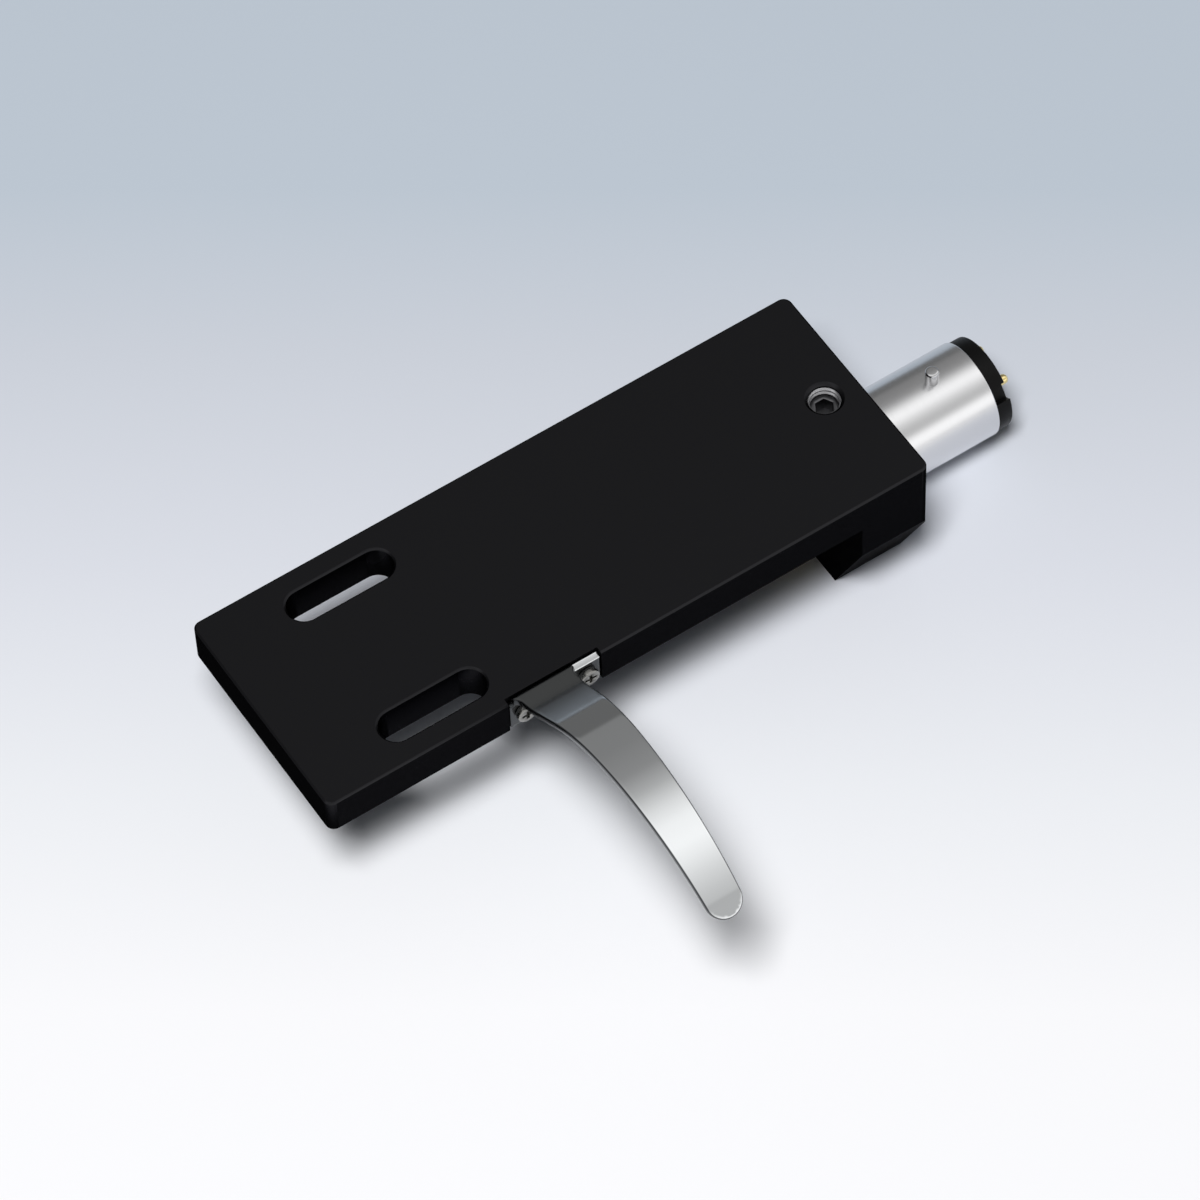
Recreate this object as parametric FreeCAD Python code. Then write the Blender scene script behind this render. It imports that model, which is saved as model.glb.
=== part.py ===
import FreeCAD, Part
import math
import os

# Turntable headshell, in millimetres
# The origin is on the tube's axis at the rear face of the body
# +X runs back to the tonearm, +Y to the side away from the finger lift, +Z up

# Body
body_length = 53.0
body_width = 19.1
plate_thickness = 3.45
axis_below_top = 9.6
corner_radius = 0.7
edge_break = 0.15
overrun = 1.0  # how far a cutter passes the faces that it cuts

# Rear block, which hangs under the plate and holds the tube
block_length = 6.1
shoulder_below_top = 6.9
block_below_top = 14.7
block_foot_width = 11.9
lip_thickness = 1.0

# Cartridge slots
slot_spacing = 12.7
slot_width = 2.8
slot_length = 9.0
slot_behind_front = 11.0

# Notch for the finger lift
notch_length = 8.1
notch_depth = 0.6
notch_behind_front = 19.6

# Plug that goes into the tonearm
tube_diameter = 8.0
tube_wall = 0.6
tube_rim = 0.12
tube_reach = 10.55
bore_clearance = 0.02
locking_pin_diameter = 1.1
locking_pin_stand = 1.25
locking_pin_reach = 6.9
locking_pin_rim = 0.2
washer_width = 1.0
washer_thickness = 0.8

# Insulator and its contacts
insulator_clearance = 0.02
nose_step = 0.1
cap_diameter = 7.7
cap_length = 1.3
cap_rim = 0.18
key_width = 1.4
key_depth = 0.7
key_angle = 37.0
contact_spacing = 3.2
contact_shank_diameter = 1.6
lead_stub_diameter = 1.2
lead_stub_length = 3.5
lead_stub_rim = 0.24
rear_contact_diameter = 0.8
rear_contact_stand = 0.95

# Screw that holds the tube
set_screw_diameter = 2.5
set_screw_recess = 1.1
set_screw_ahead_of_rear = 3.0
set_screw_socket = 1.3
set_screw_socket_depth = 1.2
set_screw_mouth = 0.25
set_screw_rim = 0.2
thread_clearance = 0.03

# Finger lift, one bent sheet
sheet = 0.55
flange_clearance = 0.1
flange_drop = 0.2
flange_height = 3.1
root_bend_radius = 0.15
root_angle = 22.0
root_run = 1.55
rise_angle = 33.5
rise_bend_radius = 4.0
rise_run = 3.0
crown_radius = 13.4
crown_angle = 24.0
fall_radius = 20.0
fall_angle = 41.0
tip_radius = 1.5
tip_angle = 8.0
tip_run = 1.4
root_width = 5.3
neck_width = 4.65
tip_width = 2.95
strip_off_centre = 0.9
strip_from_wall = 0.375

# Screws of the finger lift
lift_screw_diameter = 1.0
lift_screw_length = 2.6
lift_screw_spacing = 5.5
lift_screw_head_diameter = 1.6
lift_screw_head_height = 0.6
lift_screw_head_rim = 0.12
lift_screw_below_top = 1.75
cross_width = 0.25
cross_span = 1.0
cross_depth = 0.3

# Places that follow from the sizes above
top = axis_below_top
underside = top - plate_thickness
front = -body_length
side = body_width / 2
tube_radius = tube_diameter / 2
tube_inner_radius = tube_radius - tube_wall
tube_front = -(block_length - lip_thickness)
cap_end = tube_reach + cap_length
nose_radius = tube_inner_radius - nose_step
notch_wall = -(side - notch_depth)
notch_middle = front + notch_behind_front
strip_middle = notch_middle - strip_off_centre
flange_face = notch_wall - sheet
lift_screw_height = top - lift_screw_below_top
slot_middle = front + slot_behind_front


def vec(x, y, z):
    return FreeCAD.Vector(x, y, z)


def save(name, shape):
    """One file for each sub-part."""
    shape.exportStep(os.path.join("parts", name + ".step"))


def box(x0, x1, y0, y1, z0, z1):
    return Part.makeBox(x1 - x0, y1 - y0, z1 - z0, vec(x0, y0, z0))


def rod_x(radius, x0, x1, y=0.0, z=0.0):
    """A round bar along X."""
    return Part.makeCylinder(radius, x1 - x0, vec(x0, y, z), vec(1, 0, 0))


def face_of(points):
    """A flat face with straight sides."""
    return Part.Face(Part.makePolygon(points + points[:1]))


def turned_x(outline, y=0.0, z=0.0):
    """A turned piece on an axis along X. The outline is a list of (x, radius)."""
    first, last = outline[0], outline[-1]
    closed = [(first[0], 0.0)] + outline + [(last[0], 0.0)]
    face = face_of([vec(x, y + radius, z) for x, radius in closed])
    return face.revolve(vec(0, y, z), vec(1, 0, 0), 360)


def rounded_plan(x0, x1, half_width, radius, z0, z1):
    """An upright block whose four corners are rounded as seen from above."""
    block = box(x0, x1, -half_width, half_width, z0, z1)
    upright = [e for e in block.Edges if abs(e.tangentAt(e.FirstParameter).z) > 0.99]
    return block.makeFillet(radius, upright)


def slot_cutter(y):
    """An upright bar with round ends, longer from front to back."""
    radius = slot_width / 2
    reach = (slot_length - slot_width) / 2
    z0, z1 = underside - overrun, top + overrun
    ends = [Part.makeCylinder(radius, z1 - z0, vec(slot_middle + s * reach, y, z0)) for s in (-1, 1)]
    middle = box(slot_middle - reach, slot_middle + reach, y - radius, y + radius, z0, z1)
    return middle.fuse(ends).removeSplitter()


def block_section(x0, x1):
    """The rear block, with upright shoulders and sides that draw in to the foot."""
    shoulder = top - shoulder_below_top
    foot = top - block_below_top
    half_foot = block_foot_width / 2
    right = [(side, top), (side, shoulder), (half_foot, foot)]
    left = [(-y, z) for y, z in reversed(right)]
    section = face_of([vec(x0, y, z) for y, z in right + left])
    return section.extrude(vec(x1 - x0, 0, 0))


def make_body():
    plan = rounded_plan(front, 0, side, corner_radius, top - block_below_top - overrun, top)
    plate = plan.common(box(front, 0, -side, side, underside, top))
    block = plan.common(block_section(-block_length, 0))
    body = plate.fuse(block).removeSplitter()
    for s in (-1, 1):
        body = body.cut(slot_cutter(s * slot_spacing / 2))
    rim = [
        e for e in body.Edges
        if abs(e.BoundBox.ZMin - top) < 1e-6 and e.BoundBox.ZLength < 1e-6
    ]
    body = body.makeChamfer(edge_break, rim)
    x0, x1 = notch_middle - notch_length / 2, notch_middle + notch_length / 2
    body = body.cut(box(x0, x1, -side - overrun, notch_wall, underside - overrun, top + overrun))
    body = body.cut(rod_x(tube_radius + bore_clearance, tube_front, overrun))
    body = body.cut(rod_x(nose_radius + insulator_clearance, -block_length - overrun, overrun))
    screw_x = -set_screw_ahead_of_rear
    hole_radius = set_screw_diameter / 2 + thread_clearance
    body = body.cut(Part.makeCylinder(hole_radius, top + overrun, vec(screw_x, 0, 0)))
    mouth = Part.makeCone(
        hole_radius, hole_radius + set_screw_mouth, set_screw_mouth, vec(screw_x, 0, top - set_screw_mouth)
    )
    body = body.cut(mouth)
    for x in lift_screw_places():
        body = body.cut(lift_screw_shank(x, lift_screw_diameter / 2 + thread_clearance, thread_clearance))
    return body


def lift_screw_places():
    return [notch_middle + s * lift_screw_spacing / 2 for s in (-1, 1)]


def lift_screw_shank(x, radius, extra):
    """The round shank, from the flange's outer face into the body."""
    start = vec(x, flange_face, lift_screw_height)
    return Part.makeCylinder(radius, lift_screw_length + extra, start, vec(0, 1, 0))


def make_lift_screw(x):
    """A cheese-headed screw with a cross recess, driven along +Y."""
    head_radius = lift_screw_head_diameter / 2
    outer = flange_face - lift_screw_head_height
    head = Part.makeCylinder(
        head_radius, lift_screw_head_height, vec(x, outer, lift_screw_height), vec(0, 1, 0)
    )
    rim = [e for e in head.Edges if abs(e.BoundBox.YMax - outer) < 1e-6]
    head = head.makeChamfer(lift_screw_head_rim, rim)
    screw = head.fuse(lift_screw_shank(x, lift_screw_diameter / 2, 0)).removeSplitter()
    half, arm = cross_width / 2, cross_span / 2
    z = lift_screw_height
    floor = outer + cross_depth
    screw = screw.cut(box(x - arm, x + arm, outer - overrun, floor, z - half, z + half))
    return screw.cut(box(x - half, x + half, outer - overrun, floor, z - arm, z + arm))


def make_set_screw():
    """A headless screw with a hexagon socket, tight on the tube."""
    x = -set_screw_ahead_of_rear
    radius = set_screw_diameter / 2
    foot, head = tube_radius, top - set_screw_recess
    inner = radius - set_screw_rim
    outline = [
        vec(x, 0, foot), vec(x + inner, 0, foot), vec(x + radius, 0, foot + set_screw_rim),
        vec(x + radius, 0, head - set_screw_rim), vec(x + inner, 0, head), vec(x, 0, head),
    ]
    screw = face_of(outline).revolve(vec(x, 0, 0), vec(0, 0, 1), 360)
    corner = set_screw_socket / math.sqrt(3)
    floor = head - set_screw_socket_depth
    corners = [
        vec(x + corner * math.cos(math.radians(a)), corner * math.sin(math.radians(a)), floor)
        for a in range(0, 360, 60)
    ]
    socket = face_of(corners).extrude(vec(0, 0, set_screw_socket_depth + overrun))
    point = Part.makeCone(0, corner, corner / 2, vec(x, 0, floor - corner / 2))
    return screw.cut(socket).cut(point)


def locking_pin_bar(z1):
    """An upright bar that starts inside the hollow of the tube."""
    z0 = tube_inner_radius - overrun
    return Part.makeCylinder(locking_pin_diameter / 2, z1 - z0, vec(locking_pin_reach, 0, z0))


def make_tube():
    outline = [
        (tube_front, tube_radius - tube_rim), (tube_front + tube_rim, tube_radius),
        (tube_reach - tube_rim, tube_radius), (tube_reach, tube_radius - tube_rim),
    ]
    hollow = rod_x(tube_inner_radius, tube_front - overrun, tube_reach + overrun)
    return turned_x(outline).cut(hollow).cut(locking_pin_bar(tube_radius + overrun))


def make_locking_pin():
    """The pin that the tonearm's collar pulls on, pressed into the tube."""
    tip = tube_radius + locking_pin_stand
    pin = locking_pin_bar(tip)
    # the inner end follows the round wall of the tube
    pin = pin.cut(rod_x(tube_inner_radius, 0, tube_reach))
    rim = [e for e in pin.Edges if abs(e.BoundBox.ZMin - tip) < 1e-6]
    return pin.makeChamfer(locking_pin_rim, rim)


def contact_places():
    half = contact_spacing / 2
    return [(s * half, t * half) for t in (1, -1) for s in (1, -1)]


def contact_outline():
    """Turned contact: lead stub at the front, thicker shank, domed tip at the rear."""
    stub, shank, rear = lead_stub_diameter / 2, contact_shank_diameter / 2, rear_contact_diameter / 2
    stub_end = -block_length - lead_stub_length
    tip = cap_end + rear_contact_stand
    dome = [
        (tip - rear + rear * math.sin(math.radians(a)), rear * math.cos(math.radians(a)))
        for a in (0, 45, 80)
    ]
    return [
        (stub_end, stub - lead_stub_rim), (stub_end + lead_stub_rim, stub),
        (-block_length, stub), (-block_length, shank), (cap_end, shank), (cap_end, rear),
    ] + dome


def make_contact(y, z):
    return turned_x(contact_outline(), y, z)


def make_insulator():
    """A moulded plug that fills the tube, with a nose, a cap and a key notch in the cap."""
    body_radius = tube_inner_radius - insulator_clearance
    cap_radius = cap_diameter / 2
    plug = turned_x([
        (-block_length, nose_radius), (tube_front, nose_radius), (tube_front, body_radius),
        (tube_reach, body_radius), (tube_reach, cap_radius), (cap_end - cap_rim, cap_radius),
        (cap_end, cap_radius - cap_rim),
    ])
    for y, z in contact_places():
        plug = plug.cut(rod_x(contact_shank_diameter / 2, -block_length - overrun, cap_end + overrun, y, z))
    half_key = key_width / 2
    key = box(
        tube_reach, cap_end + overrun, -cap_radius - overrun, key_depth - cap_radius, -half_key, half_key
    )
    key.rotate(vec(0, 0, 0), vec(1, 0, 0), -key_angle)
    return plug.cut(key)


def make_washer():
    ring = rod_x(tube_radius + washer_width, 0, washer_thickness)
    return ring.cut(rod_x(tube_radius, -overrun, washer_thickness + overrun))


def sheet_walk(u, z, heading, moves):
    """Both faces of a bent sheet, as edges in the plane of (distance out, height).

    A move is (length, 0) for a flat run or (radius, turn) for a bend, where a turn above 0
    bends down and the radius is that of the walked face. The sheet lies to the right of the walk.
    """
    walked, offset = [], []

    def pair(u, z, heading):
        a = math.radians(heading)
        return (u, z), (u + sheet * math.sin(a), z - sheet * math.cos(a))

    start = pair(u, z, heading)
    for size, turn in moves:
        a = math.radians(heading)
        if turn == 0:
            middle = pair(u + size / 2 * math.cos(a), z + size / 2 * math.sin(a), heading)
            u, z = u + size * math.cos(a), z + size * math.sin(a)
        else:
            way = math.copysign(1, turn)
            cu, cz = u + way * size * math.sin(a), z - way * size * math.cos(a)
            half, end = math.radians(heading - turn / 2), math.radians(heading - turn)
            middle = pair(
                cu - way * size * math.sin(half), cz + way * size * math.cos(half), heading - turn / 2
            )
            u, z = cu - way * size * math.sin(end), cz + way * size * math.cos(end)
            heading -= turn
        finish = pair(u, z, heading)
        for k, edges in enumerate((walked, offset)):
            points = [vec(0, notch_wall - p[0], p[1]) for p in (start[k], middle[k], finish[k])]
            if turn == 0:
                edges.append(Part.makeLine(points[0], points[2]))
            else:
                edges.append(Part.Arc(*points).toShape())
        start = finish
    return walked, offset


def lift_side_view():
    """The sheet's section: upright flange, tight root bend, rise, crown, fall and bent tip."""
    outer = root_bend_radius + sheet
    slope = math.radians(root_angle)
    # the root bend ends on the line that passes over the notch's wall at the top's height
    bend_end = outer - outer * math.sin(slope)
    bend_start = top + (bend_end - strip_from_wall) * math.tan(slope) - outer * math.cos(slope)
    flange_foot = top - flange_drop - flange_height
    moves = [
        (bend_start - flange_foot, 0), (outer, 90 - root_angle), (root_run, 0),
        (rise_bend_radius, root_angle - rise_angle), (rise_run, 0),
        (crown_radius, crown_angle), (fall_radius, fall_angle), (tip_radius, tip_angle), (tip_run, 0),
    ]
    walked, offset = sheet_walk(0.0, flange_foot, 90.0, moves)
    ends = [
        Part.makeLine(walked[0].Vertexes[0].Point, offset[0].Vertexes[0].Point),
        Part.makeLine(walked[-1].Vertexes[-1].Point, offset[-1].Vertexes[-1].Point),
    ]
    wire = Part.Wire(Part.sortEdges(walked + offset + ends)[0])
    return Part.Face(wire), bend_start


def lift_plan(reach):
    """The strip as seen from above: a flared root, a long taper and a round tip."""
    neck_out = sheet + (root_width - neck_width)
    tip_start = reach - tip_width / 2
    half_root, half_neck, half_tip = root_width / 2, neck_width / 2, tip_width / 2
    x, y = strip_middle, notch_wall

    def at(sign, half, out, z=0.0):
        return vec(x + sign * half, y - out, z)

    def flare(sign):
        """A quarter-round from the wide root into the side of the neck."""
        width, length = half_root - half_neck, neck_out - sheet
        bow = math.sqrt(0.5)
        middle = at(sign, half_root - width * bow, sheet + length * (1 - bow))
        return Part.Arc(at(sign, half_root, sheet), middle, at(sign, half_neck, neck_out)).toShape()

    edges = [
        Part.makeLine(at(-1, half_root, -overrun), at(1, half_root, -overrun)),
        Part.makeLine(at(1, half_root, -overrun), at(1, half_root, sheet)),
        flare(1),
        Part.makeLine(at(1, half_neck, neck_out), at(1, half_tip, tip_start)),
        Part.Arc(at(1, half_tip, tip_start), at(0, 0, reach), at(-1, half_tip, tip_start)).toShape(),
        Part.makeLine(at(-1, half_tip, tip_start), at(-1, half_neck, neck_out)),
        flare(-1),
        Part.makeLine(at(-1, half_root, sheet), at(-1, half_root, -overrun)),
    ]
    plan = Part.Face(Part.Wire(Part.sortEdges(edges)[0]))
    plan.translate(vec(0, 0, top - 2 * block_below_top))
    return plan.extrude(vec(0, 0, 4 * block_below_top))


def make_finger_lift():
    side_view, bend_start = lift_side_view()
    side_view.translate(vec(strip_middle - root_width, 0, 0))
    bent = side_view.extrude(vec(2 * root_width, 0, 0))
    reach = -side_view.BoundBox.YMin + notch_wall
    strip = bent.common(lift_plan(reach)).common(
        box(front, 0, -side - body_length, notch_wall, bend_start - sheet, top + body_length)
    )
    half = notch_length / 2 - flange_clearance
    ledge = top - flange_drop
    foot = ledge - flange_height
    flange = box(notch_middle - half, notch_middle + half, flange_face, notch_wall, foot, bend_start)
    shoulder = box(
        strip_middle + root_width / 2, notch_middle + half, flange_face, notch_wall, bend_start, ledge
    )
    lift = flange.fuse([shoulder, strip]).removeSplitter()
    for x in lift_screw_places():
        lift = lift.cut(lift_screw_shank(x, lift_screw_diameter / 2 + thread_clearance, 0))
    return lift


os.makedirs("parts", exist_ok=True)
save("body", make_body())
save("connector_tube", make_tube())
save("locking_pin", make_locking_pin())
save("insulator", make_insulator())
save("rubber_washer", make_washer())
save("set_screw", make_set_screw())
save("finger_lift", make_finger_lift())
save("lift_screws", Part.makeCompound([make_lift_screw(x) for x in lift_screw_places()]))
contact_names = ("upper_left", "upper_right", "lower_left", "lower_right")
for place_name, (y, z) in zip(contact_names, contact_places()):
    save("contact_" + place_name, make_contact(y, z))
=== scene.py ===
import math

import bmesh
import bpy
import numpy as np
from mathutils import Matrix, Vector
from mathutils.geometry import delaunay_2d_cdt


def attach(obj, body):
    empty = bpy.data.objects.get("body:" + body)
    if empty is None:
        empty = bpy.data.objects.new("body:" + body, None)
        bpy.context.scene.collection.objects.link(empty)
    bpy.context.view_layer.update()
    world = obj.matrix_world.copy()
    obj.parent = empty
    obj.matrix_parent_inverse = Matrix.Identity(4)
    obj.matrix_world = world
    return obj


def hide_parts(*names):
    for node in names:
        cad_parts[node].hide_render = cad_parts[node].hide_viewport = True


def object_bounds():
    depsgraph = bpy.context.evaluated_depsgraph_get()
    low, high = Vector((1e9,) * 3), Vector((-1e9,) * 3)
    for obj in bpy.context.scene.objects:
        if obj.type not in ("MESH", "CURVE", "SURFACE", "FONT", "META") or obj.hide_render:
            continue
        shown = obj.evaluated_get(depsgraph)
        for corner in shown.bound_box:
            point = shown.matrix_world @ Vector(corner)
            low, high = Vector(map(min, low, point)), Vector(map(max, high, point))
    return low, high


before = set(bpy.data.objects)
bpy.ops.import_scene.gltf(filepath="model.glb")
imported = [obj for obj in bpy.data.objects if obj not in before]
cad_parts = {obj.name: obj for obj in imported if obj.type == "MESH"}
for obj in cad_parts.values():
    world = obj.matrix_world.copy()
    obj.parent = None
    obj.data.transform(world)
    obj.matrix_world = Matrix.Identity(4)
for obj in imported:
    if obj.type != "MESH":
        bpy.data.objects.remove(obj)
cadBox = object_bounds()
mm = 0.001


# Shapes, all worked out in mm


def addPiece(name, points, faces, material, slot, stands=(), uv=None, broad=None):
    # a closed mesh, welded and turned outwards, that stands for the CAD nodes it names; uv and broad
    # give each point the values that its material reads
    mesh = bpy.data.meshes.new(name)
    mesh.from_pydata(np.asarray(points, float) * mm, [], np.asarray(faces).tolist())
    if broad is not None:
        mark = mesh.attributes.new("broad", "FLOAT", "POINT")
        mark.data.foreach_set("value", np.asarray(broad, np.float32))
    if uv is not None:
        layer = mesh.uv_layers.new(name="sheet")
        corner = np.zeros(len(mesh.loops), np.int32)
        mesh.loops.foreach_get("vertex_index", corner)
        layer.data.foreach_set("uv", np.asarray(uv, np.float32)[corner].ravel())
    work = bmesh.new()
    work.from_mesh(mesh)
    bmesh.ops.remove_doubles(work, verts=work.verts, dist=1e-7)
    bmesh.ops.dissolve_degenerate(work, edges=work.edges, dist=1e-8)
    bmesh.ops.recalc_face_normals(work, faces=work.faces)
    work.to_mesh(mesh)
    work.free()
    mesh.shade_smooth()
    mesh.set_sharp_from_angle(angle=math.radians(40))
    return dress(mesh, material, stands)


def dress(mesh, material, stands):
    # an object for the mesh, with its finish, that rides on the part's one body
    piece = bpy.data.objects.new(mesh.name, mesh)
    bpy.context.scene.collection.objects.link(piece)
    mesh.materials.clear()
    mesh.materials.append(material)
    if stands:
        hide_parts(*stands)
    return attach(piece, "root")


def gridFaces(rows, columns):
    # quads between neighbouring rows of a grid whose last column meets its first
    i, j = np.meshgrid(np.arange(rows - 1), np.arange(columns), indexing="ij")
    k = (j + 1) % columns
    corners = [i * columns + j, i * columns + k, (i + 1) * columns + k, (i + 1) * columns + j]
    return np.stack(corners, -1).reshape(-1, 4)


def asTriangles(faces):
    # the same faces as triangles
    faces = np.asarray(faces)
    if faces.shape[1] == 3:
        return faces
    return np.concatenate([faces[:, [0, 1, 2]], faces[:, [0, 2, 3]]])


def softCorners(outline, radius, steps=5):
    # an open outline whose inner corners become short rounds: each round's centre lies on the
    # corner's bisector at radius / sin(half the corner's angle)
    points = np.asarray(outline, float)
    radius = np.broadcast_to(radius, len(points))
    made = [points[:1]]
    for before, corner, after, r in zip(points[:-2], points[1:-1], points[2:], radius[1:-1]):
        a, b = before - corner, after - corner
        a, b = a / np.hypot(*a), b / np.hypot(*b)
        half = math.acos(float(np.clip(a @ b, -1, 1))) / 2
        if r <= 0 or half > math.radians(89):
            made.append(corner[None])
            continue
        centre = corner + (a + b) / np.hypot(*(a + b)) * r / math.sin(half)
        start = corner + a * r / math.tan(half) - centre
        end = corner + b * r / math.tan(half) - centre
        turn = math.atan2(start[0] * end[1] - start[1] * end[0], start @ end)
        t = np.linspace(0, turn, steps)[:, None]
        made.append(centre + start * np.cos(t) + np.array([-start[1], start[0]]) * np.sin(t))
    return np.vstack(made + [points[-1:]])


def roundedLoop(corners, radii, spacing, steps=6):
    # a closed outline with round corners, each side divided so that no step is above the spacing
    corners = np.asarray(corners, float)
    ring = np.vstack([corners[-1:], corners, corners[:1]])
    loop = softCorners(ring, [0, *radii, 0], steps)[1:-1]
    loop = loop[np.hypot(*(loop - np.roll(loop, 1, 0)).T) > 1e-6]
    side = np.roll(loop, -1, 0) - loop
    parts = np.ceil(np.hypot(*side.T) / spacing).astype(int)
    owner = np.repeat(np.arange(len(loop)), parts)
    step = np.arange(len(owner)) - (np.cumsum(parts) - parts)[owner]
    return loop[owner] + side[owner] * (step / parts[owner])[:, None]


def circle(radius, segments=64, centre=(0, 0)):
    # points centre + radius (cos t, sin t)
    t = np.arange(segments) * 2 * math.pi / segments
    return np.stack([centre[0] + radius * np.cos(t), centre[1] + radius * np.sin(t)], -1)


def turned(outline, origin, axis, segments=96):
    # (along, out) points carried once round an axis: origin + along * axis + out * (side cos t + up sin t)
    axis = np.asarray(axis, float)
    side = np.array([0, 0, 1.0]) if abs(axis[2]) < 0.5 else np.array([1.0, 0, 0])
    up = np.cross(axis, side)
    t = np.arange(segments) * 2 * math.pi / segments
    ring = side * np.cos(t)[:, None] + up * np.sin(t)[:, None]
    along, out = np.asarray(outline, float).T
    points = np.asarray(origin, float) + along[:, None, None] * axis + out[:, None, None] * ring
    return points.reshape(-1, 3), gridFaces(len(along), segments)


def joined(*parts):
    # several meshes as one list of points and one of triangles
    points, faces, offset = [], [], 0
    for p, f in parts:
        points.append(p)
        faces.append(asTriangles(f) + offset)
        offset += len(p)
    return np.vstack(points), np.vstack(faces)


def loopNormals(loop):
    # outward unit normals of a closed loop that runs anticlockwise, square to its neighbours' chord
    step = np.roll(loop, -1, 0) - np.roll(loop, 1, 0)
    return np.stack([step[:, 1], -step[:, 0]], -1) / np.hypot(*step.T)[:, None]


def insideLoop(points, loop):
    # whether a line from each point to the right crosses the closed loop an odd number of times
    a, b = loop, np.roll(loop, -1, 0)
    x, y = points[:, :1], points[:, 1:]
    spans = (a[:, 1] > y) != (b[:, 1] > y)
    side = (b[:, 0] - a[:, 0]) * (y - a[:, 1]) - (x - a[:, 0]) * (b[:, 1] - a[:, 1])
    return (spans & ((side > 0) == (b[:, 1] > a[:, 1]))).sum(1) % 2 == 1


def filled(loops, spacing=None, clearShare=0.4):
    # points and triangles of the flat inside the first loop and outside the others; with a spacing
    # it also has inner points on a square grid, less those nearer to a loop than clearShare of it
    flat, edges, start = np.vstack(loops), [], 0
    for loop in loops:
        ids = start + np.arange(len(loop))
        edges += np.stack([ids, np.roll(ids, -1)], -1).tolist()
        start += len(loop)
    if spacing:
        low, high = flat.min(0), flat.max(0)
        xs = np.arange(low[0] + spacing / 2, high[0], spacing)
        ys = np.arange(low[1] + spacing / 2, high[1], spacing)
        inner = np.stack(np.meshgrid(xs, ys), -1).reshape(-1, 2)
        nearest = np.min(np.hypot(*(inner[:, None] - flat[None]).transpose(2, 0, 1)), 1)
        flat = np.vstack([flat, inner[nearest > spacing * clearShare]])
    # output type 1 keeps the triangles that the outer loop encloses
    made = delaunay_2d_cdt([Vector(p) for p in flat], edges, [], 1, 1e-6)
    cover, triangles = np.array([p[:] for p in made[0]]), np.array([list(t) for t in made[2]])
    keep = np.ones(len(triangles), bool)
    for loop in loops[1:]:
        keep &= ~insideLoop(cover[triangles].mean(1), loop)
    return cover, triangles[keep]


def plate(outer, holes, thickness, edge, spacing=None, steps=4, floor=None, holeEdge=None):
    # a flat plate with rounded rims: each loop is carried over a quarter round at both faces, where
    # inset = edge (1 - cos a) and depth = edge (1 - sin a), and the flat between the loops is filled;
    # the holes go through, or end at the level of the floor
    a = np.linspace(0, math.pi / 2, steps)
    meshes, rims = [], []
    for k, loop in enumerate([outer] + list(holes)):
        e = holeEdge if k and holeEdge else edge
        inset, sunk = e * (1 - np.cos(a)), e * (1 - np.sin(a))
        level = np.append(thickness - sunk[::-1], floor if k and floor else sunk)
        inset = np.append(inset[::-1], 0 if k and floor else inset)
        rows = np.concatenate([
            loop + inset[:, None, None] * loopNormals(loop) * (1 if k else -1),
            np.broadcast_to(level[:, None, None], (len(level), len(loop), 1)),
        ], -1)
        meshes.append((rows.reshape(-1, 3), gridFaces(len(level), len(loop))))
        rims.append(rows[0, :, :2])
    covers = [(thickness, filled(rims, spacing))]
    covers.append((0.0, filled(rims[:1] if floor else rims, spacing)))
    covers += [(floor, filled([loop])) for loop in holes if floor]
    for height, (cover, triangles) in covers:
        meshes.append((np.column_stack([cover, np.full(len(cover), height)]), triangles))
    return joined(*meshes)


def carried(mesh, origin, across, up, out):
    # a plate made in (across, up, thickness), carried to the axes and the origin given
    points, faces = mesh
    return np.asarray(origin, float) + points @ np.array([across, up, out], float), faces


# Materials


def linear(code):
    # sRGB hex to linear light
    value = np.array([int(code[i:i + 2], 16) for i in (1, 3, 5)]) / 255
    return tuple(np.where(value <= 0.04045, value / 12.92, ((value + 0.055) / 1.055) ** 2.4)) + (1.0,)


def node(tree, kind, settings=None, links=None):
    # one node, with its settings by name (attributes, inputs or a ramp's stops) and what feeds it
    made = tree.nodes.new(kind)
    for key, value in (settings or {}).items():
        if key == "stops":
            stops = made.color_ramp.elements
            stops[0].position, stops[0].color = value[0]
            stops[1].position, stops[1].color = value[-1]
            for position, colour in value[1:-1]:
                stops.new(position).color = colour
        elif hasattr(made, key):
            setattr(made, key, value)
        else:
            made.inputs[key].default_value = value
    for key, source in (links or {}).items():
        tree.links.new(source, made.inputs[key])
    return made


def newMaterial(name, colour, metallic, roughness, **settings):
    # a Principled material, its constants on the shader's own sockets
    material = bpy.data.materials.new(name)
    material.use_nodes = True
    tree = material.node_tree
    shader = tree.nodes["Principled BSDF"]
    shader.inputs["Base Color"].default_value = linear(colour)
    shader.inputs["Metallic"].default_value = metallic
    shader.inputs["Roughness"].default_value = roughness
    for key, value in settings.items():
        shader.inputs[key].default_value = value
    return material, tree, shader


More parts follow.
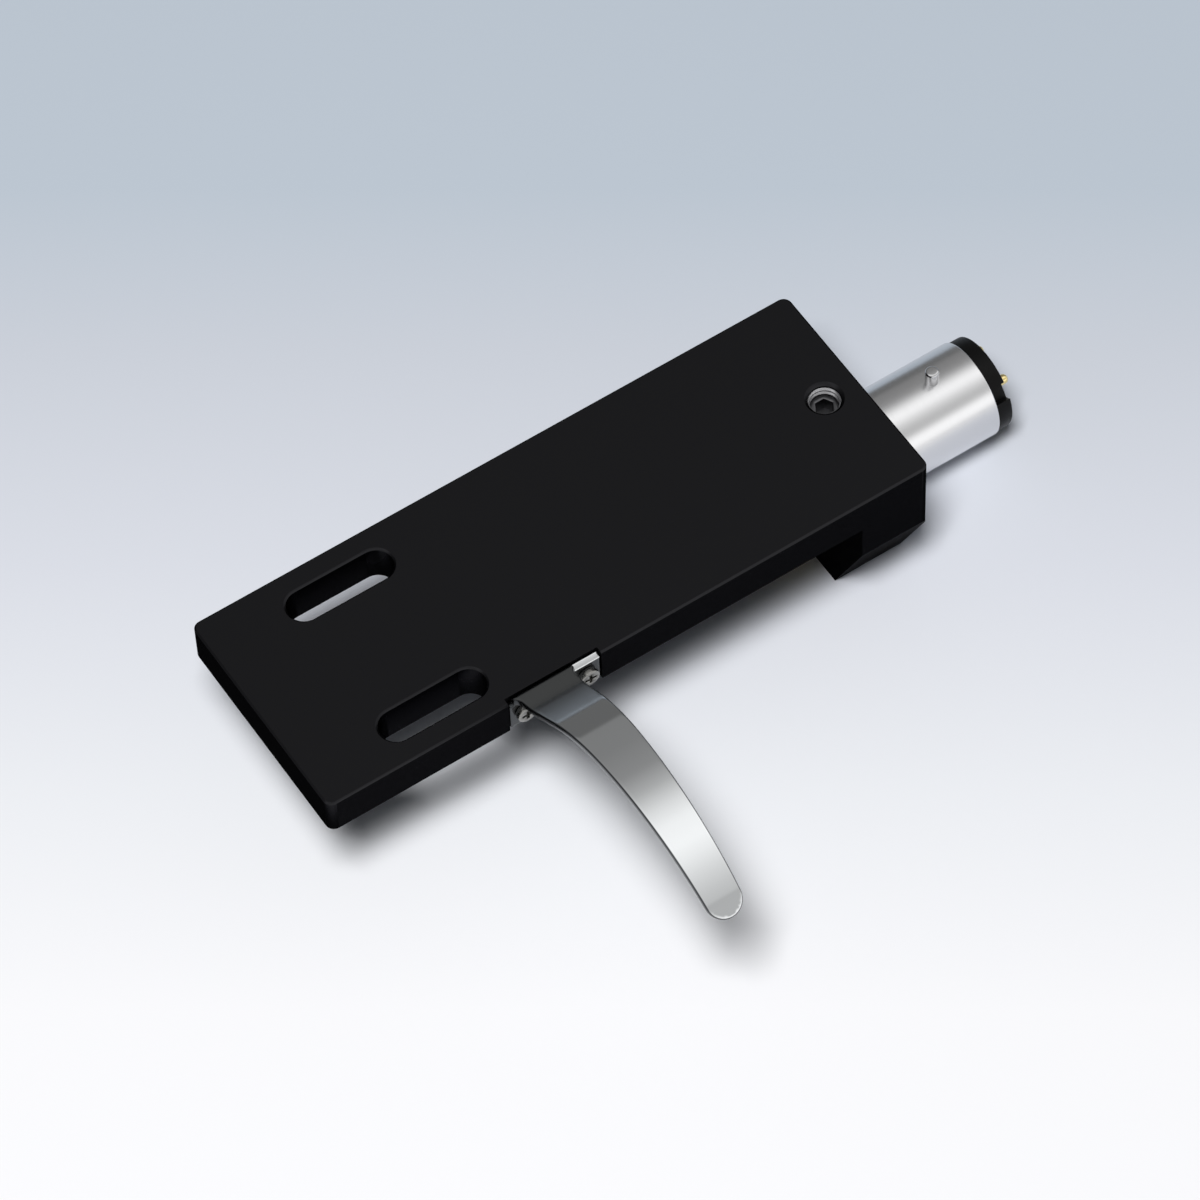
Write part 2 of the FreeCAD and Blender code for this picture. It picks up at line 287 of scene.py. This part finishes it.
def grainOn(tree, shader, coordinate, size, roughness, height, stretch=(1, 1, 1)):
    # noise of the given grain in mm that moves the roughness between two values and lifts the surface;
    # nearly all of the noise lies between 0.3 and 0.7
    scale = [1 / (size * mm * s) for s in stretch]
    placed = node(tree, "ShaderNodeMapping", {"Scale": scale}, {"Vector": coordinate})
    noise = node(tree, "ShaderNodeTexNoise", {"Scale": 1.0, "Detail": 3}, {"Vector": placed.outputs[0]})
    spread = node(
        tree, "ShaderNodeMapRange",
        {"From Min": 0.3, "From Max": 0.7, "To Min": roughness[0], "To Max": roughness[1]},
        {"Value": noise.outputs["Fac"]},
    )
    bump = node(
        tree, "ShaderNodeBump", {"Strength": 1.0, "Distance": height * mm}, {"Height": noise.outputs["Fac"]}
    )
    tree.links.new(spread.outputs[0], shader.inputs["Roughness"])
    tree.links.new(bump.outputs[0], shader.inputs["Normal"])


def objectPlace(tree):
    return node(tree, "ShaderNodeTexCoord").outputs["Object"]


# black anodised aluminium, milled and bead blasted: an even satin black with a very fine grain
blackAnodised, tree, shader = newMaterial("blackAnodisedAluminium", "#2c2c2e", 1.0, 0.36)
shader.inputs["Specular Tint"].default_value = linear("#3c3c3e")  # the dyed layer stays dark at a slant
grainOn(tree, shader, objectPlace(tree), 0.12, (0.33, 0.40), 0.0012)

# turned aluminium, satin: fine rings round the tube that blur the light into bands along it
turnedAluminium, tree, shader = newMaterial("turnedAluminium", "#dfdfe0", 1.0, 0.25)
grainOn(tree, shader, objectPlace(tree), 0.09, (0.23, 0.27), 0.00008, stretch=(1, 30, 30))

# aluminium bared by the tap: bright and a little rough
bareAluminium, tree, shader = newMaterial("bareAluminium", "#b0b0b2", 1.0, 0.32)
grainOn(tree, shader, objectPlace(tree), 0.08, (0.28, 0.38), 0.0004)

# stainless sheet: the long curve is polished lengthwise, near a mirror with faint long lines, and its bent
# foot is hazed; the grey on the foot and the dark on the flange's face are painted dark reflections
sheetFinishAndPaintedShade = {
    "hazeFrom": 9.0, "hazeTo": 9.6, "haze": 0.16, "toneSpan": 10.0,
    "paintedShade": "#444648", "paintedFootReflection": "#8e9090", "clean": "#d9dbdc",
    # the tone by mm along the blank, from the flange's foot: painted dark reflection on the flange's face
    # and on the bent foot, the clean colour elsewhere
    "tones": (
        (0.0, "paintedShade"), (2.9, "paintedShade"), (2.98, "clean"), (3.15, "clean"),
        (3.3, "paintedFootReflection"), (5.7, "paintedFootReflection"), (6.3, "clean"), (10.0, "clean"),
    ),
}
polishedSheetWithPaintedShade, tree, shader = newMaterial("polishedStainlessSheetWithPaintedShade", sheetFinishAndPaintedShade["clean"], 1.0, 0.08)
sheetPlace = node(tree, "ShaderNodeUVMap", {"uv_map": "sheet"}).outputs[0]
grainOn(tree, shader, sheetPlace, 0.1, (0.06, 0.10), 0.0001, stretch=(1, 60, 1))
lengthwise = node(tree, "ShaderNodeSeparateXYZ", links={"Vector": sheetPlace}).outputs["Y"]
hazed = node(
    tree, "ShaderNodeMapRange", {
        "From Min": sheetFinishAndPaintedShade["hazeFrom"] * mm, "From Max": sheetFinishAndPaintedShade["hazeTo"] * mm,
        "To Min": sheetFinishAndPaintedShade["haze"], "To Max": 0.0,
    }, {"Value": lengthwise},
)
grain = shader.inputs["Roughness"].links[0].from_socket
rough = node(tree, "ShaderNodeMath", {"operation": "ADD"}, {0: grain, 1: hazed.outputs[0]})
tree.links.new(rough.outputs[0], shader.inputs["Roughness"])
span = sheetFinishAndPaintedShade["toneSpan"]
share = node(tree, "ShaderNodeMapRange", {"From Max": span * mm}, {"Value": lengthwise})
stops = [(at / span, linear(sheetFinishAndPaintedShade[name])) for at, name in sheetFinishAndPaintedShade["tones"]]
tone = node(tree, "ShaderNodeValToRGB", {"stops": stops}, {"Fac": share.outputs[0]})
broad = node(tree, "ShaderNodeAttribute", {"attribute_name": "broad"})
# the mix's inputs 6 and 7 are its two colours, and its output 2 is the colour it gives
# the sheared edges, where broad is 0, take the painted shade colour, and the faces take the tone
paintedToneOrEdgeShade = node(tree, "ShaderNodeMix", {"data_type": "RGBA"}, {"Factor": broad.outputs["Fac"]})
paintedToneOrEdgeShade.inputs[6].default_value = linear(sheetFinishAndPaintedShade["paintedShade"])
tree.links.new(tone.outputs["Color"], paintedToneOrEdgeShade.inputs[7])
tree.links.new(paintedToneOrEdgeShade.outputs[2], shader.inputs["Base Color"])

# stainless steel pin, ground: bright, with a little haze
groundSteel, tree, shader = newMaterial("groundStainlessSteel", "#c4c4c5", 1.0, 0.2)
grainOn(tree, shader, objectPlace(tree), 0.15, (0.17, 0.25), 0.0001)

# zinc plated steel screws: a greyer, cloudier bright than the sheet
platedSteel, tree, shader = newMaterial("zincPlatedSteel", "#8e8d8a", 1.0, 0.24)
grainOn(tree, shader, objectPlace(tree), 0.15, (0.20, 0.32), 0.0002)

# black oxide steel, worn at the socket: grey metal with a dull sheen
blackOxide, tree, shader = newMaterial("blackOxideSteel", "#6a6a6c", 1.0, 0.34)
grainOn(tree, shader, objectPlace(tree), 0.12, (0.28, 0.40), 0.0006)

# moulded phenolic: black, slightly matte, with a fine moulded grain
mouldedPhenolic, tree, shader = newMaterial("mouldedPhenolic", "#0a0a0a", 0.0, 0.42, IOR=1.5)
shader.inputs["Specular IOR Level"].default_value = 0.12
grainOn(tree, shader, objectPlace(tree), 0.18, (0.36, 0.5), 0.0015)

# nitrile rubber, moulded: dull black
nitrileRubber, tree, shader = newMaterial("nitrileRubber", "#141414", 0.0, 0.7, IOR=1.52)
grainOn(tree, shader, objectPlace(tree), 0.2, (0.62, 0.78), 0.003)

# gold plate on turned brass: pale, bright and warm
goldPlate, tree, shader = newMaterial("goldPlate", "#f0dc9e", 1.0, 0.18)
grainOn(tree, shader, objectPlace(tree), 0.12, (0.14, 0.24), 0.0004)
print("materials made")


# Body: a copy of the CAD node, merged, with its edges rounded and its broad faces kept truly flat

bodyShape = {"edge": 0.07, "segments": 2, "flatAngle": 0.5, "sharpAngle": 35, "broadFace": 5.0}
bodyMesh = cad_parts["body"].data.copy()
bodyMesh.name = "bodyShell"
work = bmesh.new()
work.from_mesh(bodyMesh)
bmesh.ops.remove_doubles(work, verts=work.verts, dist=1e-6)
level, sharp = (math.radians(bodyShape[key]) for key in ("flatAngle", "sharpAngle"))
bmesh.ops.dissolve_limit(work, angle_limit=level, verts=work.verts, edges=work.edges)
bmesh.ops.bevel(
    work, geom=[e for e in work.edges if e.calc_face_angle(0) > sharp], offset=bodyShape["edge"] * mm,
    segments=bodyShape["segments"], profile=0.5, affect="EDGES", clamp_overlap=True,
)
work.to_mesh(bodyMesh)
work.free()
bodyMesh.shade_smooth()
area = np.zeros(len(bodyMesh.polygons))
bodyMesh.polygons.foreach_get("area", area)
bodyMesh.polygons.foreach_set("use_smooth", area < bodyShape["broadFace"] * mm * mm)
dress(bodyMesh, blackAnodised, ["body"])
print("body made")


# Tube, washer and locking pin

plug = {
    "radius": 4.0, "wall": 0.6, "front": -5.1, "reach": 10.55, "rim": 0.12,
    "washerWidth": 1.0, "washerThickness": 0.8, "washerRound": 0.2,
    "pinRadius": 0.55, "pinAt": 6.9, "pinStand": 1.25, "pinRound": 0.22, "pinFootRound": 0.02,
    "tubeSegments": 160, "washerSegments": 128, "pinSegments": 48, "pinSteps": 7,
}
outer, inner = plug["radius"], plug["radius"] - plug["wall"]
front, reach = plug["front"], plug["reach"]
halfway = (front + reach) / 2
tubeOutline = softCorners([
    (halfway, inner), (front, inner), (front, outer), (reach, outer), (reach, inner), (halfway, inner),
], plug["rim"])
tubeMesh = turned(tubeOutline, (0, 0, 0), (1, 0, 0), plug["tubeSegments"])
addPiece("tubeShell", *tubeMesh, turnedAluminium, "satin_aluminium", ["connector_tube"])

washerOuter, thick = outer + plug["washerWidth"], plug["washerThickness"]
washerOutline = softCorners([
    (thick / 2, outer), (0, outer), (0, washerOuter),
    (thick, washerOuter), (thick, outer), (thick / 2, outer),
], plug["washerRound"])
washerMesh = turned(washerOutline, (0, 0, 0), (1, 0, 0), plug["washerSegments"])
addPiece("washerRing", *washerMesh, nitrileRubber, "washer_rubber", ["rubber_washer"])

pinTop = outer + plug["pinStand"]
pinOutline = softCorners(
    [(inner, 0), (inner, plug["pinRadius"]), (pinTop, plug["pinRadius"]), (pinTop, 0)],
    [0, plug["pinFootRound"], plug["pinRound"], 0], plug["pinSteps"],
)
pinMesh = turned(pinOutline, (plug["pinAt"], 0, 0), (0, 0, 1), plug["pinSegments"])
addPiece("lockingPeg", *pinMesh, groundSteel, "pin_steel", ["locking_pin"])
print("tube made")


# Insulator with its keyed cap, and the four contacts through it

insulator = {
    "front": -6.1, "noseRadius": 3.3, "noseRound": 0.1, "fit": 0.02,
    "capRadius": 3.85, "capLength": 1.3, "capEdge": 0.15, "spacing": 3.2,
    "keyWidth": 1.4, "keyDepth": 0.7, "keyAngle": 37.0, "keySteps": 3,
    "coreSegments": 96,
}
contact = {
    "front": -9.6, "stub": 0.6, "stubRound": 0.2, "shank": 0.8, "tip": 12.8, "rear": 0.4,
    "tipRound": 0.36, "footRound": 0.05, "sunk": 0.02, "segments": 40, "roundSteps": 6,
}


def keyedCircle(radius, width, depth, angle, steps, segments=120):
    # a circle with a square notch in its rim, anticlockwise: the rim runs from one side of the notch
    # round to the other, then down, across and back up, and all is turned to the key's angle
    half = math.asin(width / 2 / radius)
    t = np.linspace(half, 2 * math.pi - half, segments)
    rim = np.stack([radius * np.cos(t), radius * np.sin(t)], -1)
    floor = radius - depth
    corners = np.array([rim[-1], (floor, -width / 2), (floor, width / 2), rim[0]])
    s = np.linspace(0, 3, 3 * steps + 1)[1:-1]
    notch = np.stack([np.interp(s, np.arange(4), corners[:, k]) for k in (0, 1)], -1)
    c, d = math.cos(math.radians(angle)), math.sin(math.radians(angle))
    return np.vstack([rim, notch]) @ np.array([[c, d], [-d, c]])


half = insulator["spacing"] / 2
contactSpots = [(y, z) for z in (half, -half) for y in (half, -half)]
capLoop = keyedCircle(
    insulator["capRadius"], insulator["keyWidth"], insulator["keyDepth"], 180 - insulator["keyAngle"],
    insulator["keySteps"],
)
capPlate = plate(capLoop, [], insulator["capLength"], insulator["capEdge"])
capMesh = carried(capPlate, (reach, 0, 0), (0, 1, 0), (0, 0, 1), (1, 0, 0))
coreRadius = inner - insulator["fit"]
coreOutline = softCorners([
    (insulator["front"], 0), (insulator["front"], insulator["noseRadius"]), (front, insulator["noseRadius"]),
    (front, coreRadius), (reach, coreRadius), (reach, 0),
], [0, insulator["noseRound"], 0, insulator["noseRound"], 0, 0])
coreMesh = turned(coreOutline, (0, 0, 0), (1, 0, 0), insulator["coreSegments"])
addPiece("insulatorPlug", *joined(capMesh, coreMesh), mouldedPhenolic, "black_plastic", ["insulator"])

shankFront = insulator["front"] + contact["sunk"]
shankRear = reach + insulator["capLength"] - contact["sunk"]
contactOutline = softCorners([
    (contact["front"], 0), (contact["front"], contact["stub"]), (shankFront, contact["stub"]),
    (shankFront, contact["shank"]), (shankRear, contact["shank"]), (shankRear, contact["rear"]),
    (contact["tip"], contact["rear"]), (contact["tip"], 0),
], [
    0, contact["stubRound"], contact["footRound"], contact["footRound"], contact["footRound"],
    contact["footRound"], contact["tipRound"], 0,
], contact["roundSteps"])
contactNodes = ("upper_left", "upper_right", "lower_left", "lower_right")
for spotName, (y, z) in zip(contactNodes, contactSpots):
    piece = "goldContact" + spotName.title().replace("_", "")
    contactMesh = turned(contactOutline, (0, y, z), (1, 0, 0), contact["segments"])
    addPiece(piece, *contactMesh, goldPlate, "gold_plate", ["contact_" + spotName])
print("insulator and contacts made")


# Set screw, and the bare thread of its hole above it

setScrew = {
    "x": -3.0, "radius": 1.23, "foot": 4.0, "head": 8.5, "edge": 0.2,
    "socket": 1.3, "socketDepth": 1.2, "socketCorner": 0.06, "socketStep": 0.1, "socketEdge": 0.08,
    "segments": 72, "cornerSteps": 4,
}
thread = {
    "radius": 1.275, "depth": 0.16, "pitch": 0.45, "low": 8.55, "turns": 1.5, "wall": 0.01, "points": 61,
    "segments": 96,
}
sixth = np.arange(6) * math.pi / 3
hexagon = setScrew["socket"] / math.sqrt(3) * np.stack([np.cos(sixth), np.sin(sixth)], -1)
socketLoop = roundedLoop(
    hexagon, [setScrew["socketCorner"]] * len(hexagon), setScrew["socketStep"], setScrew["cornerSteps"]
)
length = setScrew["head"] - setScrew["foot"]
screwPlate = plate(
    circle(setScrew["radius"], setScrew["segments"]), [socketLoop], length, setScrew["edge"],
    floor=length - setScrew["socketDepth"], holeEdge=setScrew["socketEdge"],
)
setScrewMesh = carried(screwPlate, (setScrew["x"], 0, setScrew["foot"]), (1, 0, 0), (0, 1, 0), (0, 0, 1))
addPiece("setScrewBody", *setScrewMesh, blackOxide, "dark_steel", ["set_screw"])

# the thread's crests stand in by half its depth times (1 + cos(turns up the hole)), and its back
# is a plain wall just outside it
turns = np.linspace(0, thread["turns"], thread["points"])
height = thread["low"] + thread["pitch"] * turns
crest = thread["depth"] / 2 * (1 + np.cos(2 * math.pi * turns))
inside = np.stack([height, thread["radius"] - thread["wall"] - crest], -1)
backWall = np.array([(height[-1], thread["radius"]), (height[0], thread["radius"])])
threadOutline = np.vstack([inside, backWall, inside[:1]])
threadMesh = turned(threadOutline, (setScrew["x"], 0, 0), (0, 0, 1), thread["segments"])
addPiece("tappedThread", *threadMesh, bareAluminium, "satin_aluminium")
print("set screw made")


# Finger lift: one sheet cut flat, then bent along its length

lift = {
    "sheet": 0.55, "edge": 0.12, "wallY": -8.95, "top": 9.6, "spacing": 0.22,
    "flangeMiddle": -33.4, "flangeHalf": 3.95, "flangeDrop": 0.2, "flangeHeight": 3.1,
    "stripMiddle": -34.3, "rootHalf": 2.65, "neckHalf": 2.325, "tipHalf": 1.475, "fromWall": 0.375,
    "flareFrom": 0.35, "flareTo": 1.3,
    "rootBend": 0.15, "rootAngle": 22.0, "rootRun": 1.55, "riseBend": 4.0, "riseAngle": 33.5, "riseRun": 3.0,
    "crownRadius": 13.4, "crownAngle": 24.0, "fallRadius": 20.0, "fallAngle": 41.0,
    "tipRadius": 1.5, "tipAngle": 8.0, "tipRun": 1.4,
    "cornerRound": 0.15, "notchRound": 0.05, "flareRound": 0.3, "neckRound": 1.2, "roundSteps": 9,
}
outerBend = lift["rootBend"] + lift["sheet"]
slope = math.radians(lift["rootAngle"])
bendEnd = outerBend * (1 - math.sin(slope))
bendStart = lift["top"] + (bendEnd - lift["fromWall"]) * math.tan(slope) - outerBend * math.cos(slope)
foot = lift["top"] - lift["flangeDrop"] - lift["flangeHeight"]
moves = [
    (bendStart - foot, 0.0), (outerBend, 90 - lift["rootAngle"]), (lift["rootRun"], 0.0),
    (lift["riseBend"], lift["rootAngle"] - lift["riseAngle"]), (lift["riseRun"], 0.0),
    (lift["crownRadius"], lift["crownAngle"]), (lift["fallRadius"], lift["fallAngle"]),
    (lift["tipRadius"], lift["tipAngle"]), (lift["tipRun"], 0.0),
]


def walkTable(moves, height, heading, step=0.05):
    # distance walked, distance out, height and heading, along straight runs, where out and height
    # grow by s cos and s sin of the heading, and round bends, where the heading falls by s / radius
    rows, walked, out = [], 0.0, 0.0
    for size, turn in moves:
        length = size * abs(math.radians(turn)) if turn else size
        s = np.linspace(0, length, max(3, int(length / step)))
        if turn:
            way = math.copysign(1 / size, turn)
            angle = heading - way * s
            x = out + (math.sin(heading) - np.sin(angle)) / way
            z = height - (math.cos(heading) - np.cos(angle)) / way
        else:
            angle = np.full(len(s), heading)
            x, z = out + s * math.cos(heading), height + s * math.sin(heading)
        rows.append(np.stack([walked + s, x, z, angle], -1))
        walked, out, height, heading = walked + length, x[-1], z[-1], angle[-1]
    return np.vstack(rows)


walk = walkTable(moves, foot, math.pi / 2)
stripEnd = walk[-1, 0]


def bent(points):
    # (across, along, level) of the flat blank into the row frame: along follows the walk, and the
    # level under the blank's upper face is laid off square to the walk
    out, height, angle = (np.interp(points[:, 1], walk[:, 0], walk[:, k]) for k in (1, 2, 3))
    depth = lift["sheet"] - points[:, 2]
    return np.stack([
        points[:, 0], lift["wallY"] - (out + depth * np.sin(angle)), height - depth * np.cos(angle),
    ], -1)


ledge, bendAt = lift["flangeHeight"], bendStart - foot
left, right = lift["flangeMiddle"] - lift["flangeHalf"], lift["flangeMiddle"] + lift["flangeHalf"]
middle, root, neck, tip = lift["stripMiddle"], lift["rootHalf"], lift["neckHalf"], lift["tipHalf"]
flareFrom, flareTo = ledge + lift["flareFrom"], bendAt + lift["flareTo"]
soft, notch = lift["cornerRound"], lift["notchRound"]
flare, slim = lift["flareRound"], lift["neckRound"]
blank = [  # each corner of the blank as (across, along), with its round
    (left, 0, soft), (right, 0, soft), (right, ledge, soft), (middle + root, ledge, notch),
    (middle + root, flareFrom, flare), (middle + neck, flareTo, slim),
    (middle + tip, stripEnd - tip, 0), (middle + tip, stripEnd, tip),
    (middle - tip, stripEnd, tip), (middle - tip, stripEnd - tip, 0),
    (middle - neck, flareTo, slim), (middle - root, flareFrom, flare),
    (middle - root, bendAt, notch), (left, bendAt, soft),
]
blankLoop = roundedLoop(
    [corner[:2] for corner in blank], [corner[2] for corner in blank], lift["spacing"], lift["roundSteps"]
)
liftPoints, liftFaces = plate(blankLoop, [], lift["sheet"], lift["edge"], lift["spacing"])
# the two faces, and the flange's top edge, count as broad, and the sheared edges don't and get the painted
# shade
fromMiddle = abs(liftPoints[:, 2] - lift["sheet"] / 2)
isBroad = (fromMiddle > lift["sheet"] / 2 - lift["edge"] / 10) | (liftPoints[:, 1] < ledge + lift["edge"])
addPiece(
    "fingerLiftSheet", bent(liftPoints), liftFaces, polishedSheetWithPaintedShade, "polished_sheet", ["finger_lift"],
    uv=liftPoints[:, :2] * mm, broad=isBroad,
)
print("finger lift made")


# Screws of the finger lift

liftScrew = {
    "spacing": 5.5, "radius": 0.8, "head": 0.6, "edge": 0.1, "shank": 0.5, "length": 2.6, "height": 7.85,
    "cross": 0.25, "span": 1.0, "depth": 0.3, "crossRound": 0.05, "crossEdge": 0.03, "overlap": 0.15,
    "segments": 48, "crossSteps": 3,
}
a, b = liftScrew["cross"] / 2, liftScrew["span"] / 2
cross = [
    (b, -a), (b, a), (a, a), (a, b), (-a, b), (-a, a),
    (-b, a), (-b, -a), (-a, -a), (-a, -b), (a, -b), (a, -a),
]
crossLoop = roundedLoop(cross, [liftScrew["crossRound"]] * len(cross), a, liftScrew["crossSteps"])
face = lift["wallY"] - lift["sheet"]
crown = plate(
    circle(liftScrew["radius"], liftScrew["segments"]), [crossLoop], liftScrew["head"], liftScrew["edge"],
    floor=liftScrew["head"] - liftScrew["depth"], holeEdge=liftScrew["crossEdge"],
)
screwOutline = [
    (-liftScrew["length"], 0), (-liftScrew["length"], liftScrew["shank"]),
    (liftScrew["overlap"], liftScrew["shank"]), (liftScrew["overlap"], 0),
]
parts = []
for side in (-1, 1):
    x = lift["flangeMiddle"] + side * liftScrew["spacing"] / 2
    parts.append(carried(crown, (x, face, liftScrew["height"]), (1, 0, 0), (0, 0, 1), (0, -1, 0)))
    shaft = turned(screwOutline, (x, face, liftScrew["height"]), (0, -1, 0), liftScrew["segments"])
    parts.append(shaft)
addPiece("liftScrewPair", *joined(*parts), platedSteel, "screw_steel", ["lift_screws"])
print("lift screws made")


# Camera

view = {
    "azimuth": -30.991, "elevation": 56.519, "roll": -2.826, "across": -19.349, "up": -16.553,
    "distance": 519.345, "zeroHeight": 9.6, "focalPixels": 6910.36, "imageWidth": 1200, "sensor": 36.0,
    "clipNear": 0.01, "clipFar": 20.0,
}
azimuth, elevation, roll = (math.radians(view[key]) for key in ("azimuth", "elevation", "roll"))
back = np.array([
    math.sin(azimuth) * math.cos(elevation), -math.cos(azimuth) * math.cos(elevation), math.sin(elevation),
])
level = np.array([math.cos(azimuth), math.sin(azimuth), 0.0])
steep = np.cross(back, level)
rightward = math.cos(roll) * level + math.sin(roll) * steep
upward = -math.sin(roll) * level + math.cos(roll) * steep
place = view["across"] * rightward + view["up"] * upward + view["distance"] * back
place[2] += view["zeroHeight"]
camera = bpy.data.objects.new("camera", bpy.data.cameras.new("camera"))
bpy.context.scene.collection.objects.link(camera)
camera.data.sensor_width = view["sensor"]
camera.data.lens = view["focalPixels"] * view["sensor"] / view["imageWidth"]
camera.data.clip_start, camera.data.clip_end = view["clipNear"], view["clipFar"]
camera.matrix_world = Matrix(np.vstack([
    np.column_stack([rightward, upward, back, place * mm]), [0, 0, 0, 1],
]).tolist())
bpy.context.scene.camera = camera


# Floor, which deepens from near white in front to a pale blue grey behind

floorShape = {
    "half": 3000.0, "way": (0.565, 0.825, 0.0), "near": -46.0, "far": 29.0,
    "tones": ((0.0, "#fafafc"), (0.25, "#eff1f5"), (0.52, "#dfe2ea"), (0.79, "#d1d6df"), (1.0, "#c4ced9")),
}
h, floorHeight = floorShape["half"] * mm, cadBox[0].z
floorMesh = bpy.data.meshes.new("floor")
floorCorners = [(x, y, floorHeight) for x, y in ((-h, -h), (h, -h), (h, h), (-h, h))]
floorMesh.from_pydata(floorCorners, [], [(0, 1, 2, 3)])
floor = bpy.data.objects.new("floor", floorMesh)
bpy.context.scene.collection.objects.link(floor)
palePaper, tree, shader = newMaterial("palePaper", "#e6eaf0", 0.0, 0.9)
shader.inputs["Specular IOR Level"].default_value = 0.0
along = node(
    tree, "ShaderNodeVectorMath", {"operation": "DOT_PRODUCT"}, {0: objectPlace(tree)},
)
along.inputs[1].default_value = floorShape["way"]
depth = node(
    tree, "ShaderNodeMapRange", {"From Min": floorShape["near"] * mm, "From Max": floorShape["far"] * mm},
    {"Value": along.outputs["Value"]},
)
tone = node(
    tree, "ShaderNodeValToRGB", {"stops": [(at, linear(code)) for at, code in floorShape["tones"]]},
    {"Fac": depth.outputs[0]},
)
tree.links.new(tone.outputs["Color"], shader.inputs["Base Color"])
floorMesh.materials.append(palePaper)


# Light: one softbox that casts the shadow, and a studio whose panels show in the metal

light = {
    "from": (-0.28, -0.285, 0.917), "distance": 900.0, "size": 235.0, "watts": 8.15,
    "aim": (-20.0, -8.0, 5.0), "fill": 0.09, "fillColour": "#e4e8ee", "panels": 1.4,
    # the studio's brightness round the X axis, by degrees from straight up towards the finger lift
    "bands": (
        (-90, 0.115), (-67, 0.115), (-65, 0.19), (-45, 0.195), (-30, 0.24),
        (-20, 0.40), (-10, 0.70), (-2, 0.88), (8, 0.93),
        (15, 0.83), (22, 0.69), (30, 0.56), (42, 0.42), (54, 0.42),
        (62, 0.80), (68, 0.96), (80, 0.96), (90, 0.72),
    ),
}
lamp = bpy.data.lights.new("softbox", "AREA")
lamp.size = light["size"] * mm
lamp.energy = light["watts"]
softbox = bpy.data.objects.new("softbox", lamp)
bpy.context.scene.collection.objects.link(softbox)
way = Vector(light["from"]).normalized()
softbox.location = (Vector(light["aim"]) + way * light["distance"]) * mm
softbox.rotation_mode = "QUATERNION"
softbox.rotation_quaternion = way.to_track_quat("Z", "Y")
softbox.visible_glossy = softbox.visible_camera = False

world = bpy.data.worlds.new("studio")
bpy.context.scene.world = world
world.use_nodes = True
tree = world.node_tree
fill = tree.nodes["Background"]
fill.inputs["Color"].default_value = linear(light["fillColour"])
fill.inputs["Strength"].default_value = light["fill"]
parted = node(
    tree, "ShaderNodeSeparateXYZ", links={"Vector": node(tree, "ShaderNodeTexCoord").outputs["Generated"]}
)
towards = node(tree, "ShaderNodeMath", {"operation": "MULTIPLY"}, {0: parted.outputs["Y"]})
towards.inputs[1].default_value = -1.0
aroundX = node(
    tree, "ShaderNodeMath", {"operation": "ARCTAN2"}, {0: towards.outputs[0], 1: parted.outputs["Z"]}
)
turnPart = node(
    tree, "ShaderNodeMapRange", {"From Min": -math.pi, "From Max": math.pi}, {"Value": aroundX.outputs[0]}
)
bands = node(
    tree, "ShaderNodeValToRGB",
    {"stops": [(angle / 360 + 0.5, (value, value, value, 1)) for angle, value in light["bands"]]},
    {"Fac": turnPart.outputs[0]},
)
panels = node(
    tree, "ShaderNodeBackground", {"Strength": light["panels"]}, {"Color": bands.outputs["Color"]}
)
rays = node(tree, "ShaderNodeLightPath")
chosen = node(
    tree, "ShaderNodeMixShader",
    links={0: rays.outputs["Is Glossy Ray"], 1: fill.outputs[0], 2: panels.outputs[0]},
)
tree.links.new(chosen.outputs[0], tree.nodes["World Output"].inputs["Surface"])
bpy.context.scene.view_settings.view_transform = "Standard"
print("camera, floor and light made")

bpy.context.view_layer.update()
